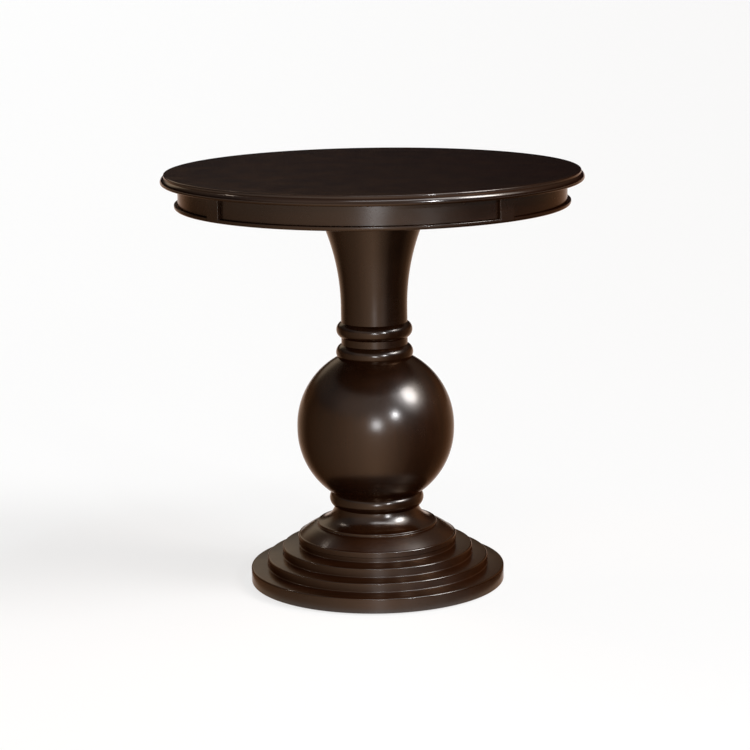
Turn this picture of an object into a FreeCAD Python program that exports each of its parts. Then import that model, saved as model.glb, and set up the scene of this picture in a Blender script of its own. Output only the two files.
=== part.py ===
import FreeCAD, Part
import math
import os

# Round pedestal accent table, in millimetres.
# The origin is on the floor under the table's centre, +Z is up, and the front apron panel faces -Y.

# Overall sizes
TABLE_HEIGHT = 762.0
TOP_DIAMETER = 762.0

# Round top: a core panel tongued into a moulded edge ring
TOP_THICKNESS = 18.0
QUIRK_SETBACK = 6.0
QUIRK_DEPTH = 5.0
NOSE_LOWER_RADIUS = 4.0
RIM_RADIUS = 2.2
TOP_TONGUE_LENGTH = 8.0
TOP_TONGUE_THICKNESS = 6.0
EDGE_RING_LAND = 6.3

# Apron: a bent core ring faced with recessed panels between stiles and rounded bottom rails
APRON_DEPTH = 44.0
APRON_SETBACK = 24.0
PANEL_RECESS = 6.7
PANEL_THICKNESS = 4.0
PANEL_COUNT = 4
CORE_THICKNESS = 15.0
CORE_EDGE_RADIUS = 1.0
CORE_TONGUE_WIDTH = 8.0
CORE_TONGUE_HEIGHT = 5.0
RAIL_HEIGHT = 7.5
RAIL_LOWER_RADIUS = 4.0
RAIL_UPPER_RADIUS = 1.2
STILE_WIDTH = 32.0
STILE_EDGE_RADIUS = 1.2
SHADOW_GAP = 0.8

# Glue blocks in the corner of apron and top
BLOCK_COUNT = 8
BLOCK_WIDTH = 30.0
BLOCK_DEPTH = 22.0
BLOCK_HEIGHT = 22.0
BLOCK_CHAMFER = 9.0

# Plate that joins the column to the top
MOUNTING_PLATE_RADIUS = 150.0
MOUNTING_PLATE_THICKNESS = 28.0
MOUNTING_PLATE_EDGE_RADIUS = 6.0
MOUNTING_SCREW_COUNT = 8
MOUNTING_SCREW_INSET = 18.0

# Wood screws, all alike
SCREW_LENGTH = 28.0
SCREW_GRIP = 14.0
SCREW_SHANK_RADIUS = 2.4
SCREW_TIP_LENGTH = 5.0
PILOT_END_GAP = 1.0
SCREW_HEAD_RADIUS = 4.8
SCREW_HEAD_HEIGHT = 3.2
SCREW_HEAD_ROUND = 1.4
SCREW_RECESS_WIDTH = 1.2
SCREW_RECESS_DEPTH = 1.5
COUNTERBORE_CLEARANCE = 1.2

# Column, its tenon and the turned rings on it
SHAFT_RADIUS = 60.5
COLUMN_HEAD_RADIUS = 116.0
COLUMN_STRAIGHT = 28.0
TENON_RADIUS = 30.0
TENON_ROUND = 2.0
MORTISE_DEPTH = 40.0
MORTISE_END_GAP = 2.0
UPPER_BEAD_RADIUS = 69.4
UPPER_BEAD_HEIGHT = 28.4
NECK_HEIGHT = 12.6
LOWER_BEAD_RADIUS = 70.4
LOWER_BEAD_HEIGHT = 24.1
LOWER_BEAD_WIDEST = 9.6

# Ball in two halves, with flat seats and a short straight band at its middle
BALL_RADIUS = 144.0
BALL_BAND = 6.0
BALL_TOP_SEAT = 67.6
BALL_BOTTOM_SEAT = 82.0

# Collar under the ball, hollow-moulded block and sloping dome
COLLAR_RADIUS = 86.6
COLLAR_HEIGHT = 27.0
COLLAR_WIDEST = 14.9
COLLAR_FOOT_RADIUS = 77.0
COVE_HEIGHT = 33.9
COVE_RADIUS = 110.0
COVE_HOLLOW = 6.0
COVE_LIP_HEIGHT = 5.0
COVE_LIP_ROUND = 1.6
COVE_LEDGE = 1.0
DOME_HEIGHT = 38.0
DOME_BOW = 1.8
DOME_BAND_HEIGHT = 8.9
DOME_LIP_HEIGHT = 11.0
DOME_LIP_ROUND = 1.0
DOME_LIP_UNDERSIDE = 0.55
DOME_LEDGE = 0.5
DOME_MORTISE_DEPTH = 25.0

# Stepped discs of the base, with gently falling treads
PLATE_RADIUS = 234.0
PLATE_THICKNESS = 29.2
PLATE_TREAD = 30.4
LOWER_TIER_THICKNESS = 19.0
LOWER_TREAD = 28.4
UPPER_TIER_THICKNESS = 19.0
UPPER_TREAD = 29.3
TREAD_FALL = 2.2
ARRIS_RADIUS = 3.0
PLATE_FOOT_RADIUS = 1.2
FOOT_COVE = 1.5
FOOT_LAND = 0.4

# Dowels: radius, length and the circle that they stand on
DOWEL_COUNT = 4
DOWEL_END_GAP = 0.5
BASE_DOWEL_RADIUS = 4.0
BASE_DOWEL_LENGTH = 17.0
BASE_DOWEL_CIRCLE = 70.0
BALL_DOWEL_RADIUS = 6.0
BALL_DOWEL_LENGTH = 60.0
BALL_DOWEL_CIRCLE = 85.0
COLUMN_DOWEL_RADIUS = 5.0
COLUMN_DOWEL_LENGTH = 28.0
COLUMN_DOWEL_CIRCLE = 70.0

# Tie rod through the whole pedestal
ROD_RADIUS = 6.0
ROD_CHAMFER = 1.0
ROD_BORE_CLEARANCE = 1.0
ROD_END = 1.6
NUT_ACROSS_FLATS = 18.0
NUT_HEIGHT = 10.8
WASHER_RADIUS = 14.0
WASHER_THICKNESS = 2.5
RECESS_CLEARANCE = 4.0
RECESS_END_GAP = 1.1

# Adjustable feet: a nylon pad on a threaded stem in a sleeve
LEVELLER_COUNT = 4
LEVELLER_INSET = 44.0
LEVELLER_TRAVEL = 8.0
FOOT_PROUD = 2.5
PAD_RADIUS = 15.0
PAD_HEIGHT = 7.0
PAD_ROUND = 1.5
PAD_TOP_GAP = 2.0
PAD_SIDE_GAP = 2.0
STEM_RADIUS = 4.0
STEM_SOCKET = 5.0
STEM_CHAMFER = 0.8
THREAD_ENGAGEMENT = 10.0
THREAD_CLEARANCE = 0.05
INSERT_WALL = 2.0
INSERT_END = 2.0
INSERT_FLANGE_WIDTH = 4.0
INSERT_FLANGE_THICKNESS = 1.5

# Glue line behind a panel, and between a tenon or tongue and its socket
GLUE_GAP = 0.15

# Heights, from the floor up
PLATE_BOTTOM = FOOT_PROUD
PLATE_TOP = PLATE_BOTTOM + PLATE_THICKNESS
LOWER_TIER_TOP = PLATE_TOP + LOWER_TIER_THICKNESS
UPPER_TIER_TOP = LOWER_TIER_TOP + UPPER_TIER_THICKNESS
DOME_TOP = UPPER_TIER_TOP + DOME_HEIGHT
COVE_TOP = DOME_TOP + COVE_HEIGHT
BALL_BOTTOM = COVE_TOP + COLLAR_HEIGHT
LOWER_BALL_CENTRE = BALL_BOTTOM + math.sqrt(BALL_RADIUS ** 2 - BALL_BOTTOM_SEAT ** 2)
BALL_MIDDLE = LOWER_BALL_CENTRE + BALL_BAND / 2
UPPER_BALL_CENTRE = BALL_MIDDLE + BALL_BAND / 2
BALL_TOP = UPPER_BALL_CENTRE + math.sqrt(BALL_RADIUS ** 2 - BALL_TOP_SEAT ** 2)
LOWER_BEAD_TOP = BALL_TOP + LOWER_BEAD_HEIGHT
NECK_TOP = LOWER_BEAD_TOP + NECK_HEIGHT
COLUMN_BOTTOM = NECK_TOP + UPPER_BEAD_HEIGHT
TOP_UNDERSIDE = TABLE_HEIGHT - TOP_THICKNESS
COLUMN_TOP = TOP_UNDERSIDE - MOUNTING_PLATE_THICKNESS
APRON_BOTTOM = TOP_UNDERSIDE - APRON_DEPTH

# Radii and depths that several pieces share
TOP_RADIUS = TOP_DIAMETER / 2
APRON_RADIUS = TOP_RADIUS - APRON_SETBACK
CORE_RADIUS = APRON_RADIUS - PANEL_RECESS - PANEL_THICKNESS
CORE_INNER_RADIUS = CORE_RADIUS - CORE_THICKNESS
TOP_PANEL_RADIUS = CORE_INNER_RADIUS - EDGE_RING_LAND
MOUNTING_SCREW_CIRCLE = MOUNTING_PLATE_RADIUS - MOUNTING_SCREW_INSET
SOCKET_RADIUS = TENON_RADIUS + GLUE_GAP
ROD_BORE = ROD_RADIUS + ROD_BORE_CLEARANCE
ROD_RECESS_RADIUS = WASHER_RADIUS + RECESS_CLEARANCE
ROD_RECESS_DEPTH = WASHER_THICKNESS + NUT_HEIGHT + ROD_END + RECESS_END_GAP
LOWER_TIER_RADIUS = PLATE_RADIUS - PLATE_TREAD
UPPER_TIER_RADIUS = LOWER_TIER_RADIUS - LOWER_TREAD
DOME_RADIUS = UPPER_TIER_RADIUS - UPPER_TREAD
DOME_BAND_RADIUS = DOME_RADIUS - DOME_LIP_ROUND - DOME_LIP_UNDERSIDE
DOME_TOP_RADIUS = COVE_RADIUS + FOOT_COVE
LEVELLER_CIRCLE = PLATE_RADIUS - LEVELLER_INSET
SCREW_SEAT = TOP_UNDERSIDE - SCREW_GRIP
PAD_RECESS_TOP = PAD_HEIGHT + PAD_TOP_GAP
STEM_TOP = PAD_HEIGHT + LEVELLER_TRAVEL + THREAD_ENGAGEMENT
INSERT_RADIUS = STEM_RADIUS + THREAD_CLEARANCE + INSERT_WALL
INSERT_FLANGE_RADIUS = INSERT_RADIUS + INSERT_FLANGE_WIDTH
INSERT_TOP = STEM_TOP + INSERT_END

# Angles: the front panel is centred on -Y, with a stile at each of its ends
PANEL_PITCH = 360.0 / PANEL_COUNT
FRONT = -90.0
FIRST_STILE = FRONT + PANEL_PITCH / 2
FIRST_BLOCK = FRONT + 180.0 / BLOCK_COUNT
FIRST_LEVELLER = FRONT + 180.0 / LEVELLER_COUNT
DOWEL_STAGGER = 180.0 / DOWEL_COUNT

ORIGIN = FreeCAD.Vector(0, 0, 0)
UP = FreeCAD.Vector(0, 0, 1)


def section_point(radius, height):
    return FreeCAD.Vector(radius, 0, height)


def corner_arc(before, corner, after, radius):
    """Start, middle and end of the arc that rounds a corner between two straight sides."""
    back = (before - corner).normalize()
    ahead = (after - corner).normalize()
    half_angle = back.getAngle(ahead) / 2
    reach = radius / math.tan(half_angle)
    inward = (back + ahead).normalize()
    centre = corner + inward * (radius / math.sin(half_angle))
    return corner + back * reach, centre - inward * radius, corner + ahead * reach


def section(*steps):
    """Closed face in the XZ plane, from a sharp first corner round to it again.

    A step is (radius, height), (radius, height, corner radius), or a point on an arc and the arc's end.
    """
    ends = []
    for step in steps:
        ends.append(section_point(*(step[1] if isinstance(step[0], tuple) else step[:2])))
    here = ends[0]
    edges = []
    for index in range(1, len(steps) + 1):
        step = steps[index % len(steps)]
        end = ends[index % len(steps)]
        if isinstance(step[0], tuple):
            edges.append(Part.Arc(here, section_point(*step[0]), end).toShape())
        elif len(step) == 3:
            start, middle, end = corner_arc(here, end, ends[(index + 1) % len(steps)], step[2])
            edges.append(Part.makeLine(here, start))
            edges.append(Part.Arc(start, middle, end).toShape())
        else:
            edges.append(Part.makeLine(here, end))
        here = end
    return Part.Face(Part.Wire(edges))


def turned(*steps):
    """Solid turned about the table's axis."""
    return section(*steps).revolve(ORIGIN, UP, 360).Solids[0]


def bowed(start, end, bow):
    """Middle of an arc from start to end that leaves the straight line by bow, outwards on a rising outline."""
    run = end[0] - start[0]
    rise = end[1] - start[1]
    length = math.hypot(run, rise)
    return (start[0] + end[0]) / 2 + rise / length * bow, (start[1] + end[1]) / 2 - run / length * bow


def upright_arc(radius, height, run, rise):
    """Arc step that leaves a point upright and ends run outwards and rise above it."""
    bend = (run ** 2 + rise ** 2) / (2 * run)
    half_angle = math.asin(rise / abs(bend)) / 2
    middle = (radius + bend * (1 - math.cos(half_angle)), height + abs(bend) * math.sin(half_angle))
    return middle, (radius + run, height + rise)


def around(shape, count, first_angle):
    """Copies of a shape evenly spaced about the table's axis."""
    copies = []
    for index in range(count):
        copy = shape.copy()
        copy.rotate(ORIGIN, UP, first_angle + index * 360.0 / count)
        copies.append(copy)
    return copies


def rod(radius, bottom, top, circle=0.0):
    """Upright cylinder, on the axis or out on a circle about it."""
    return Part.makeCylinder(radius, top - bottom, FreeCAD.Vector(circle, 0, bottom))


def drilled(solid, tools):
    return solid.cut(tools).Solids[0]


def foot_cove(radius, bottom):
    """Outline of a small hollow at the foot of a round riser."""
    reach = radius + FOOT_COVE
    land = bottom + FOOT_LAND
    quarter = FOOT_COVE * (1 - math.sqrt(0.5))
    return (reach, bottom), (reach, land), ((radius + quarter, land + quarter), (radius, land + FOOT_COVE))


def screw_holes(circle, count, first_angle):
    """Pilot holes in the top over one ring of screws."""
    pilot = rod(SCREW_SHANK_RADIUS, TOP_UNDERSIDE, SCREW_SEAT + SCREW_LENGTH + PILOT_END_GAP, circle)
    return around(pilot, count, first_angle)


def screw_passages(bottom, circle, count, first_angle):
    """Counterbored holes from below, through a piece that is screwed up to the top."""
    head_hole = rod(SCREW_HEAD_RADIUS + COUNTERBORE_CLEARANCE, bottom, SCREW_SEAT, circle)
    shank_hole = rod(SCREW_SHANK_RADIUS, SCREW_SEAT, TOP_UNDERSIDE, circle)
    return around(head_hole.fuse(shank_hole), count, first_angle)


def dowels(radius, length, circle, joint, first_angle, share=0.5):
    """Ring of dowels across a joint; share is how much of each stands below it."""
    bottom = joint - length * share
    return around(rod(radius, bottom, bottom + length, circle), DOWEL_COUNT, first_angle)


def dowel_holes(radius, length, circle, joint, first_angle, share=0.5):
    bottom = joint - length * share - DOWEL_END_GAP
    top = joint + length * (1 - share) + DOWEL_END_GAP
    return around(rod(radius, bottom, top, circle), DOWEL_COUNT, first_angle)


# Where each ring of dowels stands: size, circle, joint height, turn and share below the joint
PLATE_DOWELS = (BASE_DOWEL_RADIUS, BASE_DOWEL_LENGTH, BASE_DOWEL_CIRCLE, PLATE_TOP, 0.0)
LOWER_TIER_DOWELS = (BASE_DOWEL_RADIUS, BASE_DOWEL_LENGTH, BASE_DOWEL_CIRCLE, LOWER_TIER_TOP, DOWEL_STAGGER)
UPPER_TIER_DOWELS = (BASE_DOWEL_RADIUS, BASE_DOWEL_LENGTH, BASE_DOWEL_CIRCLE, UPPER_TIER_TOP, 0.0)
BALL_DOWELS = (BALL_DOWEL_RADIUS, BALL_DOWEL_LENGTH, BALL_DOWEL_CIRCLE, BALL_MIDDLE, 0.0)
COLUMN_DOWELS = (COLUMN_DOWEL_RADIUS, COLUMN_DOWEL_LENGTH, COLUMN_DOWEL_CIRCLE, COLUMN_TOP, 0.0)

# Rings of screws: circle, count and turn
PLATE_SCREWS = (MOUNTING_SCREW_CIRCLE, MOUNTING_SCREW_COUNT, FRONT)
BLOCK_SCREWS = (CORE_INNER_RADIUS - BLOCK_DEPTH / 2, BLOCK_COUNT, FIRST_BLOCK)


def top_panel():
    middle = TOP_UNDERSIDE + TOP_THICKNESS / 2
    tongue_radius = TOP_PANEL_RADIUS + TOP_TONGUE_LENGTH
    tongue_bottom = middle - TOP_TONGUE_THICKNESS / 2
    tongue_top = middle + TOP_TONGUE_THICKNESS / 2
    disc = turned(
        (0, TOP_UNDERSIDE), (TOP_PANEL_RADIUS, TOP_UNDERSIDE), (TOP_PANEL_RADIUS, tongue_bottom),
        (tongue_radius, tongue_bottom), (tongue_radius, tongue_top), (TOP_PANEL_RADIUS, tongue_top),
        (TOP_PANEL_RADIUS, TABLE_HEIGHT), (0, TABLE_HEIGHT))
    return drilled(disc, screw_holes(*PLATE_SCREWS) + screw_holes(*BLOCK_SCREWS))


def top_edge_ring():
    middle = TOP_UNDERSIDE + TOP_THICKNESS / 2
    groove_radius = TOP_PANEL_RADIUS + TOP_TONGUE_LENGTH + GLUE_GAP
    groove_bottom = middle - TOP_TONGUE_THICKNESS / 2 - GLUE_GAP
    groove_top = middle + TOP_TONGUE_THICKNESS / 2 + GLUE_GAP
    core_middle = CORE_RADIUS - CORE_THICKNESS / 2
    slot_inner = core_middle - CORE_TONGUE_WIDTH / 2 - GLUE_GAP
    slot_outer = core_middle + CORE_TONGUE_WIDTH / 2 + GLUE_GAP
    slot_top = TOP_UNDERSIDE + CORE_TONGUE_HEIGHT + GLUE_GAP
    quirk_radius = TOP_RADIUS - QUIRK_SETBACK
    nose_widest = TOP_UNDERSIDE + NOSE_LOWER_RADIUS
    nose_rise = TABLE_HEIGHT - QUIRK_DEPTH - nose_widest
    ease = NOSE_LOWER_RADIUS * (1 - math.sqrt(0.5))
    return turned(
        (TOP_PANEL_RADIUS, TOP_UNDERSIDE), (slot_inner, TOP_UNDERSIDE), (slot_inner, slot_top),
        (slot_outer, slot_top), (slot_outer, TOP_UNDERSIDE),
        (TOP_RADIUS - NOSE_LOWER_RADIUS, TOP_UNDERSIDE),
        ((TOP_RADIUS - ease, TOP_UNDERSIDE + ease), (TOP_RADIUS, nose_widest)),
        upright_arc(TOP_RADIUS, nose_widest, -QUIRK_SETBACK, nose_rise),
        (quirk_radius, TABLE_HEIGHT, RIM_RADIUS), (TOP_PANEL_RADIUS, TABLE_HEIGHT),
        (TOP_PANEL_RADIUS, groove_top), (groove_radius, groove_top),
        (groove_radius, groove_bottom), (TOP_PANEL_RADIUS, groove_bottom))


def apron_core():
    core_middle = CORE_RADIUS - CORE_THICKNESS / 2
    tongue_inner = core_middle - CORE_TONGUE_WIDTH / 2
    tongue_outer = core_middle + CORE_TONGUE_WIDTH / 2
    tongue_top = TOP_UNDERSIDE + CORE_TONGUE_HEIGHT
    return turned(
        (CORE_RADIUS, APRON_BOTTOM), (CORE_RADIUS, TOP_UNDERSIDE), (tongue_outer, TOP_UNDERSIDE),
        (tongue_outer, tongue_top), (tongue_inner, tongue_top), (tongue_inner, TOP_UNDERSIDE),
        (CORE_INNER_RADIUS, TOP_UNDERSIDE), (CORE_INNER_RADIUS, APRON_BOTTOM, CORE_EDGE_RADIUS))


def between_stiles(ring, gap):
    """The arcs of a ring that lie between the stiles, in order round the table from the front one."""
    clear_width = STILE_WIDTH + 2 * gap
    corner = FreeCAD.Vector(0, -clear_width / 2, APRON_BOTTOM)
    slot = Part.makeBox(TOP_RADIUS, clear_width, APRON_DEPTH, corner)
    arcs = ring.cut(around(slot, PANEL_COUNT, FIRST_STILE)).Solids

    def turn_from_front(solid):
        angle = math.degrees(math.atan2(solid.CenterOfMass.y, solid.CenterOfMass.x))
        return round(angle - FRONT) % 360

    return sorted(arcs, key=turn_from_front)


def apron_panels():
    face = APRON_RADIUS - PANEL_RECESS
    back = CORE_RADIUS + GLUE_GAP
    bottom = APRON_BOTTOM + RAIL_HEIGHT + SHADOW_GAP
    ring = turned((back, bottom), (face, bottom), (face, TOP_UNDERSIDE), (back, TOP_UNDERSIDE))
    return between_stiles(ring, SHADOW_GAP)


def apron_rails():
    top = APRON_BOTTOM + RAIL_HEIGHT
    ring = turned(
        (CORE_RADIUS, APRON_BOTTOM), (APRON_RADIUS, APRON_BOTTOM, RAIL_LOWER_RADIUS),
        (APRON_RADIUS, top, RAIL_UPPER_RADIUS), (CORE_RADIUS, top))
    return between_stiles(ring, 0.0)


def apron_stiles():
    """Strips whose outer corners are rounded in plan and whose lower edge runs on from the rails."""
    half = STILE_WIDTH / 2
    inset = APRON_RADIUS - STILE_EDGE_RADIUS
    round_y = half - STILE_EDGE_RADIUS
    round_x = math.sqrt(inset ** 2 - round_y ** 2)
    back_x = math.sqrt(CORE_RADIUS ** 2 - half ** 2)
    face_x = round_x * APRON_RADIUS / inset
    face_y = round_y * APRON_RADIUS / inset
    turn = STILE_EDGE_RADIUS * math.sqrt(0.5)

    def plan(x, y):
        return FreeCAD.Vector(x, y, APRON_BOTTOM)

    edges = [
        Part.makeLine(plan(back_x, -half), plan(round_x, -half)),
        Part.Arc(plan(round_x, -half), plan(round_x + turn, -round_y - turn), plan(face_x, -face_y)).toShape(),
        Part.Arc(plan(face_x, -face_y), plan(APRON_RADIUS, 0), plan(face_x, face_y)).toShape(),
        Part.Arc(plan(face_x, face_y), plan(round_x + turn, round_y + turn), plan(round_x, half)).toShape(),
        Part.makeLine(plan(round_x, half), plan(back_x, half)),
        Part.Arc(plan(back_x, half), plan(CORE_RADIUS, 0), plan(back_x, -half)).toShape()]
    strip = Part.Face(Part.Wire(edges)).extrude(UP * APRON_DEPTH)
    ring = turned(
        (CORE_INNER_RADIUS, APRON_BOTTOM), (APRON_RADIUS, APRON_BOTTOM, RAIL_LOWER_RADIUS),
        (APRON_RADIUS, TOP_UNDERSIDE), (CORE_INNER_RADIUS, TOP_UNDERSIDE))
    return around(strip.common(ring).Solids[0], PANEL_COUNT, FIRST_STILE)


def glue_blocks():
    bottom = TOP_UNDERSIDE - BLOCK_HEIGHT
    inner = CORE_INNER_RADIUS - BLOCK_DEPTH
    spread = math.degrees(BLOCK_WIDTH / CORE_INNER_RADIUS)
    profile = section(
        (CORE_INNER_RADIUS, bottom), (CORE_INNER_RADIUS, TOP_UNDERSIDE), (inner, TOP_UNDERSIDE),
        (inner, bottom + BLOCK_CHAMFER), (inner + BLOCK_CHAMFER, bottom))
    block = profile.revolve(ORIGIN, UP, spread).Solids[0]
    block.rotate(ORIGIN, UP, -spread / 2)
    block = drilled(block, screw_passages(bottom, BLOCK_SCREWS[0], 1, 0.0))
    return around(block, BLOCK_COUNT, FIRST_BLOCK)


def mounting_plate():
    recess_bottom = TOP_UNDERSIDE - ROD_RECESS_DEPTH
    disc = turned(
        (ROD_BORE, COLUMN_TOP), (MOUNTING_PLATE_RADIUS, COLUMN_TOP, MOUNTING_PLATE_EDGE_RADIUS),
        (MOUNTING_PLATE_RADIUS, TOP_UNDERSIDE), (ROD_RECESS_RADIUS, TOP_UNDERSIDE),
        (ROD_RECESS_RADIUS, recess_bottom), (ROD_BORE, recess_bottom))
    return drilled(disc, screw_passages(COLUMN_TOP, *PLATE_SCREWS) + dowel_holes(*COLUMN_DOWELS))


def wood_screw(circle):
    """Round-headed screw that points up, its head's seat at the shared screw height."""
    tip = SCREW_SEAT + SCREW_LENGTH
    head_bottom = SCREW_SEAT - SCREW_HEAD_HEIGHT
    screw = turned(
        (0, head_bottom), (SCREW_HEAD_RADIUS, head_bottom, SCREW_HEAD_ROUND), (SCREW_HEAD_RADIUS, SCREW_SEAT),
        (SCREW_SHANK_RADIUS, SCREW_SEAT), (SCREW_SHANK_RADIUS, tip - SCREW_TIP_LENGTH), (0, tip))
    slot_length = 2 * (SCREW_HEAD_RADIUS - SCREW_HEAD_ROUND)
    corner = FreeCAD.Vector(-slot_length / 2, -SCREW_RECESS_WIDTH / 2, head_bottom)
    slot = Part.makeBox(slot_length, SCREW_RECESS_WIDTH, SCREW_RECESS_DEPTH, corner)
    screw = drilled(screw, around(slot, 4, 0.0)[:2])
    screw.translate(FreeCAD.Vector(circle, 0, 0))
    return screw


def top_screws():
    screws = []
    for circle, count, first_angle in (PLATE_SCREWS, BLOCK_SCREWS):
        screws += around(wood_screw(circle), count, first_angle)
    return Part.makeCompound(screws)


def column():
    straight_top = COLUMN_BOTTOM + COLUMN_STRAIGHT
    tenon_bottom = BALL_TOP - MORTISE_DEPTH + MORTISE_END_GAP
    head_run = COLUMN_HEAD_RADIUS - SHAFT_RADIUS
    flare = upright_arc(SHAFT_RADIUS, straight_top, head_run, COLUMN_TOP - straight_top)
    post = turned(
        (ROD_BORE, tenon_bottom), (TENON_RADIUS, tenon_bottom, TENON_ROUND), (TENON_RADIUS, COLUMN_BOTTOM),
        (SHAFT_RADIUS, COLUMN_BOTTOM), (SHAFT_RADIUS, straight_top),
        flare, (ROD_BORE, COLUMN_TOP))
    return drilled(post, dowel_holes(*COLUMN_DOWELS))


def turned_ring(bottom, bottom_radius, widest_point, top_radius, top):
    """Ring with a round outside, glued on a tenon."""
    return turned((SOCKET_RADIUS, bottom), (bottom_radius, bottom), (widest_point, (top_radius, top)),
                  (SOCKET_RADIUS, top))


def upper_bead():
    widest = (UPPER_BEAD_RADIUS, NECK_TOP + UPPER_BEAD_HEIGHT / 2)
    return turned_ring(NECK_TOP, SHAFT_RADIUS, widest, SHAFT_RADIUS, COLUMN_BOTTOM)


def neck_ring():
    return turned((SOCKET_RADIUS, LOWER_BEAD_TOP), (SHAFT_RADIUS, LOWER_BEAD_TOP), (SHAFT_RADIUS, NECK_TOP),
                  (SOCKET_RADIUS, NECK_TOP))


def lower_bead():
    widest = (LOWER_BEAD_RADIUS, BALL_TOP + LOWER_BEAD_WIDEST)
    return turned_ring(BALL_TOP, BALL_TOP_SEAT, widest, SHAFT_RADIUS, LOWER_BEAD_TOP)


def ball_collar():
    widest = (COLLAR_RADIUS, COVE_TOP + COLLAR_WIDEST)
    return turned_ring(COVE_TOP, COLLAR_FOOT_RADIUS, widest, BALL_BOTTOM_SEAT, BALL_BOTTOM)


def ball_half(centre, seat, side):
    """Half of the ball, above its middle for side 1 and below it for side -1."""
    end = centre + side * math.sqrt(BALL_RADIUS ** 2 - seat ** 2)
    halfway = math.acos(seat / BALL_RADIUS) / 2
    on_arc = (BALL_RADIUS * math.cos(halfway), centre + side * BALL_RADIUS * math.sin(halfway))
    mortise_end = end - side * MORTISE_DEPTH
    half = turned(
        (ROD_BORE, BALL_MIDDLE), (BALL_RADIUS, BALL_MIDDLE), (BALL_RADIUS, centre), (on_arc, (seat, end)),
        (SOCKET_RADIUS, end), (SOCKET_RADIUS, mortise_end), (ROD_BORE, mortise_end))
    return drilled(half, dowel_holes(*BALL_DOWELS))


def base_cove():
    lower_tenon = DOME_TOP - DOME_MORTISE_DEPTH + MORTISE_END_GAP
    upper_tenon = BALL_BOTTOM + MORTISE_DEPTH - MORTISE_END_GAP
    lip_top = DOME_TOP + COVE_LIP_HEIGHT
    hollow_foot = (COVE_RADIUS - COVE_LIP_ROUND - COVE_LEDGE, lip_top)
    hollow_top = (COLLAR_FOOT_RADIUS, COVE_TOP)
    return turned(
        (ROD_BORE, lower_tenon), (TENON_RADIUS, lower_tenon, TENON_ROUND), (TENON_RADIUS, DOME_TOP),
        *foot_cove(COVE_RADIUS, DOME_TOP), (COVE_RADIUS, lip_top, COVE_LIP_ROUND), hollow_foot,
        (bowed(hollow_foot, hollow_top, -COVE_HOLLOW), hollow_top), (TENON_RADIUS, COVE_TOP),
        (TENON_RADIUS, upper_tenon, TENON_ROUND), (ROD_BORE, upper_tenon))


def base_dome():
    lip_bottom = UPPER_TIER_TOP + DOME_BAND_HEIGHT
    lip_top = lip_bottom + DOME_LIP_HEIGHT
    slope_foot = (DOME_RADIUS - ARRIS_RADIUS - DOME_LEDGE, lip_top)
    slope_top = (DOME_TOP_RADIUS, DOME_TOP)
    mortise_end = DOME_TOP - DOME_MORTISE_DEPTH
    block = turned(
        (ROD_BORE, UPPER_TIER_TOP), *foot_cove(DOME_BAND_RADIUS, UPPER_TIER_TOP),
        (DOME_BAND_RADIUS, lip_bottom), (DOME_RADIUS, lip_bottom, DOME_LIP_ROUND),
        (DOME_RADIUS, lip_top, ARRIS_RADIUS), slope_foot, (bowed(slope_foot, slope_top, DOME_BOW), slope_top),
        (SOCKET_RADIUS, DOME_TOP), (SOCKET_RADIUS, mortise_end), (ROD_BORE, mortise_end))
    return drilled(block, dowel_holes(*UPPER_TIER_DOWELS))


def tier(bottom, top, radius, seat_radius):
    """Stepped disc with a falling tread outside the seat of the piece above."""
    return turned(
        (ROD_BORE, bottom), *foot_cove(radius, bottom), (radius, top - TREAD_FALL, ARRIS_RADIUS),
        (seat_radius, top), (ROD_BORE, top))


def upper_tier():
    disc = tier(LOWER_TIER_TOP, UPPER_TIER_TOP, UPPER_TIER_RADIUS, DOME_BAND_RADIUS + FOOT_COVE)
    return drilled(disc, dowel_holes(*UPPER_TIER_DOWELS) + dowel_holes(*LOWER_TIER_DOWELS))


def lower_tier():
    disc = tier(PLATE_TOP, LOWER_TIER_TOP, LOWER_TIER_RADIUS, UPPER_TIER_RADIUS + FOOT_COVE)
    return drilled(disc, dowel_holes(*LOWER_TIER_DOWELS) + dowel_holes(*PLATE_DOWELS))


def base_plate():
    recess_top = PLATE_BOTTOM + ROD_RECESS_DEPTH
    disc = turned(
        (ROD_RECESS_RADIUS, PLATE_BOTTOM), (PLATE_RADIUS, PLATE_BOTTOM, PLATE_FOOT_RADIUS),
        (PLATE_RADIUS, PLATE_TOP - TREAD_FALL, ARRIS_RADIUS), (LOWER_TIER_RADIUS + FOOT_COVE, PLATE_TOP),
        (ROD_BORE, PLATE_TOP), (ROD_BORE, recess_top), (ROD_RECESS_RADIUS, recess_top))
    pad_recess = rod(PAD_RADIUS + PAD_SIDE_GAP, PLATE_BOTTOM, PAD_RECESS_TOP, LEVELLER_CIRCLE)
    flange_recess = rod(INSERT_FLANGE_RADIUS, PAD_RECESS_TOP, PAD_RECESS_TOP + INSERT_FLANGE_THICKNESS,
                        LEVELLER_CIRCLE)
    sleeve_hole = rod(INSERT_RADIUS, PAD_RECESS_TOP, INSERT_TOP, LEVELLER_CIRCLE)
    leveller_hole = pad_recess.fuse([flange_recess, sleeve_hole])
    return drilled(disc, around(leveller_hole, LEVELLER_COUNT, FIRST_LEVELLER) + dowel_holes(*PLATE_DOWELS))


def base_dowels():
    return Part.makeCompound(dowels(*PLATE_DOWELS) + dowels(*LOWER_TIER_DOWELS) + dowels(*UPPER_TIER_DOWELS))


def ball_dowels():
    return Part.makeCompound(dowels(*BALL_DOWELS))


def column_dowels():
    return Part.makeCompound(dowels(*COLUMN_DOWELS))


# Seats of the tie rod's washers, above the base plate's recess and below the mounting plate's
LOWER_WASHER_SEAT = PLATE_BOTTOM + ROD_RECESS_DEPTH
UPPER_WASHER_SEAT = TOP_UNDERSIDE - ROD_RECESS_DEPTH


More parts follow.
